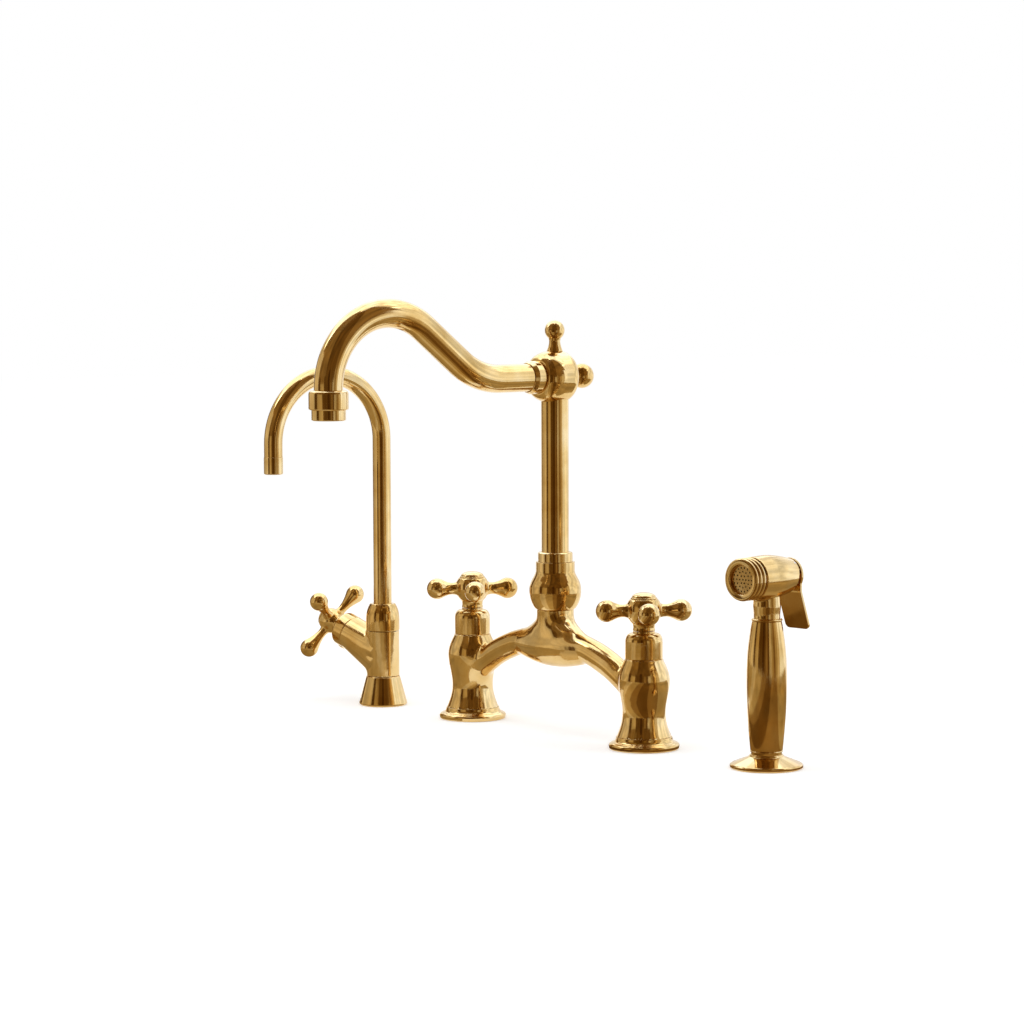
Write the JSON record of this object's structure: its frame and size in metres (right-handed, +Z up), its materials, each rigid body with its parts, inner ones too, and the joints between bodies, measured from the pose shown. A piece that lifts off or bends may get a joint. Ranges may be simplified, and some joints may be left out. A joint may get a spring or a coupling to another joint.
{
  "type": "gooseneck kitchen faucet",
  "caption": "Polished brass bridge kitchen faucet with a swivelling swan neck spout, cross handles, a separate gooseneck drinking water tap and a side hand spray.",
  "frame": {"origin": "on the worktop's top face, under the axis of the mixer's spout column", "axes": "+X along the row of feet towards the hand spray, +Y away from the user, +Z up"},
  "size_m": [0.529, 0.2639, 0.3919],
  "materials": {
    "polished brass": "polished, unlacquered",
    "bright brass": "polished, a little paler",
    "bare brass": "machined",
    "steel": "plain",
    "rubber": "matte",
    "plastic": "matte"
  },
  "bodies": {
    "deck": {"bridge_body": "polished brass", "vase": "polished brass", "column_nut": "bright brass", "column_bush": "plastic", "hot_flange": "polished brass", "cold_flange": "polished brass", "foot_seals": "rubber", "hot_tail": "bare brass", "cold_tail": "bare brass", "rubber_washers": "rubber", "steel_washers": "steel", "backnuts": "bare brass", "hot_bonnet": "polished brass", "cold_bonnet": "polished brass", "hot_cartridge": "bare brass", "cold_cartridge": "bare brass", "seat_seals": "rubber", "filter_body": "polished brass", "filter_tail": "bare brass", "filter_washer": "rubber", "filter_backnut": "bare brass", "filter_bonnet": "polished brass", "filter_cartridge": "bare brass", "filter_nut": "polished brass", "spray_holder": "polished brass", "spray_guide": "plastic", "spray_washer": "rubber", "spray_backnut": "bare brass"},
    "hot_tap": {"hot_handle": "polished brass", "hot_cap": "bright brass", "hot_screw": "steel", "hot_spindle": "bare brass"},
    "cold_tap": {"cold_handle": "polished brass", "cold_cap": "bright brass", "cold_screw": "steel", "cold_spindle": "bare brass"},
    "spout": {"column": "polished brass", "column_rings": "rubber", "spout_head": "polished brass", "top_finial": "polished brass", "rear_knob": "polished brass", "spout_collar": "bright brass", "spout_tube": "polished brass", "outlet_ring": "polished brass", "aerator_housing": "bright brass", "aerator_insert": "plastic"},
    "filter_tap": {"filter_handle": "polished brass", "filter_cap": "bright brass", "filter_screw": "steel", "filter_spindle": "bare brass"},
    "gooseneck": {"filter_spout": "polished brass", "filter_nozzle": "bright brass"},
    "spray": {"spray_ferrule": "bright brass", "spray_grip": "polished brass", "spray_head": "polished brass", "face_ring": "bright brass", "rose_plate": "bright brass", "lever_pin": "steel"},
    "lever": {"spray_lever": "polished brass"},
    "stem": {"valve_stem": "steel"}
  },
  "joints": [
    {"name": "spout_swivel", "type": "hinge", "parent": "deck", "child": "spout", "pos_m": [0, 0, 0.11], "axis": [0, 0, 1], "range_deg": [-40, 110]},
    {"name": "hot_turn", "type": "hinge", "parent": "deck", "child": "hot_tap", "pos_m": [-0.1016, 0, 0.09], "axis": [0, 0, 1], "range_deg": [-90, 0]},
    {"name": "cold_turn", "type": "hinge", "parent": "deck", "child": "cold_tap", "pos_m": [0.1016, 0, 0.09], "axis": [0, 0, 1], "range_deg": [0, 90]},
    {"name": "filter_turn", "type": "hinge", "parent": "deck", "child": "filter_tap", "pos_m": [-0.207, -0.009, 0.0428], "axis": [-0.924, -0.1712, 0.342], "range_deg": [0, 90]},
    {"name": "gooseneck_swivel", "type": "hinge", "parent": "deck", "child": "gooseneck", "pos_m": [-0.207, -0.009, 0.06], "axis": [0, 0, 1], "range_deg": [-100, 20]},
    {"name": "spray_lift", "type": "slide", "parent": "deck", "child": "spray", "axis": [0, 0, 1], "range_m": [0, 0.06]},
    {"name": "lever_pull", "type": "hinge", "parent": "spray", "child": "lever", "pos_m": [0.22109, 0.02801, 0.1438], "axis": [-0.9952, -0.0976, 0], "range_deg": [0, 10], "stiffness_Nm_per_rad": 0.5, "springref_deg": -8.59},
    {"name": "stem_pull", "type": "slide", "parent": "spray", "child": "stem", "axis": [0.0976, -0.9952, 0], "range_m": [0, 0.00182]}
  ],
  "couplings": [
    {"joint": "stem_pull", "follows": "lever_pull", "m_per_rad": 0.0104}
  ]
}
